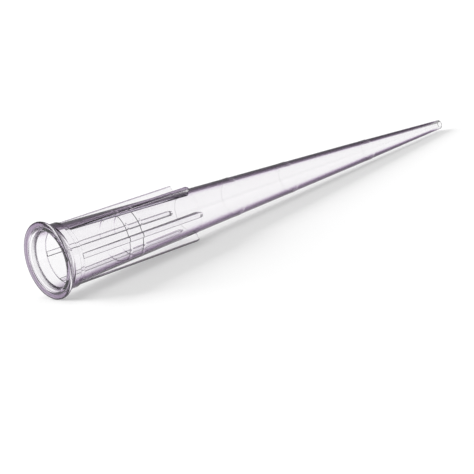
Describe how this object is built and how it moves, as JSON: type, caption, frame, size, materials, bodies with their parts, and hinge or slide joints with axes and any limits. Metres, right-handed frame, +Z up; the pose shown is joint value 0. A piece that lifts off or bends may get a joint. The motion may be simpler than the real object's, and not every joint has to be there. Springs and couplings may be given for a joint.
{
  "type": "pipette tip",
  "caption": "Slender tapered pipette tip with a flanged mouth, a ribbed collar with a sealing socket, and a conical bore that narrows to a fine orifice.",
  "frame": {"origin": "bottom centre of the bounding box: the middle of the length, on the surface that the tip lies on", "axes": "+X from the flanged mouth towards the point, +Z up from the surface; the tip's own axis lies in the XZ plane and dips 3.73 degrees towards the point"},
  "size_m": [0.0508, 0.0078, 0.0078],
  "materials": {
    "clear_polypropylene": "clear natural polypropylene, smooth moulded surface"
  },
  "bodies": {
    "root": {"tip": "clear_polypropylene"}
  },
  "joints": []
}
